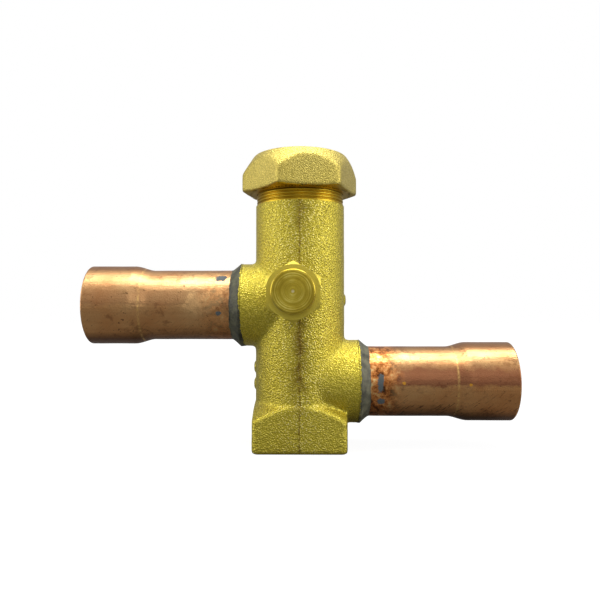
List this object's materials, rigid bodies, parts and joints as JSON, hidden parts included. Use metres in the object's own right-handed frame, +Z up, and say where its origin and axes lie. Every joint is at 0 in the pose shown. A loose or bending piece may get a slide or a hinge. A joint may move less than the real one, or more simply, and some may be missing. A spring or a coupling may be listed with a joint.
{
  "type": "refrigerant service valve",
  "caption": "Forged brass service valve with a screw-down stem under a hexagon cap, brazed copper sockets at two heights and a capped charging port.",
  "frame": {"origin": "centre of the square base's underside, on the stem's axis", "axes": "+Z up along the stem, -Y out of the charging port, -X out of the upper tube and +X out of the lower tube"},
  "size_m": [0.1342, 0.0432, 0.0931],
  "materials": {
    "forged_brass": "shot-blasted",
    "cap_brass": "shot-blasted, threads turned",
    "turned_brass": "turned",
    "copper": "drawn, lightly oxidised",
    "braze": "burnt flux over braze",
    "spring_steel": "plain",
    "seal_rubber": "matt",
    "seal_plastic": "matt white"
  },
  "bodies": {
    "valve": {"valve_body": "forged_brass", "left_tube": "copper", "right_tube": "copper", "left_braze_ring": "braze", "right_braze_ring": "braze", "retaining_ring": "spring_steel", "core_barrel": "turned_brass", "core_gasket": "seal_plastic", "core_spring": "spring_steel"},
    "cap_carrier": {"stem_cap_gasket": "seal_plastic"},
    "cap": {"stem_cap": "cap_brass"},
    "disc_carrier": {"seat_disc": "seal_plastic"},
    "stem": {"stem": "turned_brass", "stem_o_ring_lower": "seal_rubber", "stem_o_ring_upper": "seal_rubber", "disc_washer": "turned_brass", "disc_screw": "spring_steel"},
    "port_cap_carrier": {"port_cap_gasket": "seal_rubber"},
    "port_cap": {"port_cap": "turned_brass"},
    "core_pin": {"core_pin": "turned_brass", "core_seal": "seal_rubber"}
  },
  "joints": [
    {"name": "cap_lift", "type": "slide", "parent": "valve", "child": "cap_carrier", "axis": [0, 0, 1], "range_m": [0, 0.0105]},
    {"name": "cap_turn", "type": "hinge", "parent": "cap_carrier", "child": "cap", "pos_m": [0, 0, 0.0891], "axis": [0, 0, 1], "range_deg": [0, 3780]},
    {"name": "stem_lift", "type": "slide", "parent": "valve", "child": "disc_carrier", "axis": [0, 0, 1], "range_m": [0, 0.008]},
    {"name": "stem_turn", "type": "hinge", "parent": "disc_carrier", "child": "stem", "pos_m": [0, 0, 0.0333], "axis": [0, 0, 1], "range_deg": [0, 1920]},
    {"name": "port_cap_lift", "type": "slide", "parent": "valve", "child": "port_cap_carrier", "axis": [0, -1, 0], "range_m": [0, 0.00762]},
    {"name": "port_cap_turn", "type": "hinge", "parent": "port_cap_carrier", "child": "port_cap", "pos_m": [-0.0018, -0.023, 0.0486], "axis": [0, -1, 0], "range_deg": [0, 2160]},
    {"name": "core_press", "type": "slide", "parent": "valve", "child": "core_pin", "axis": [0, 1, 0], "range_m": [0, 0.001], "stiffness_N_per_m": 500, "springref_m": -0.002, "deforming": ["core_spring"]}
  ],
  "couplings": [
    {"joint": "cap_turn", "follows": "cap_lift", "rad_per_m": 6283.2},
    {"joint": "stem_turn", "follows": "stem_lift", "rad_per_m": 4188.8},
    {"joint": "port_cap_turn", "follows": "port_cap_lift", "rad_per_m": 4947.4}
  ]
}
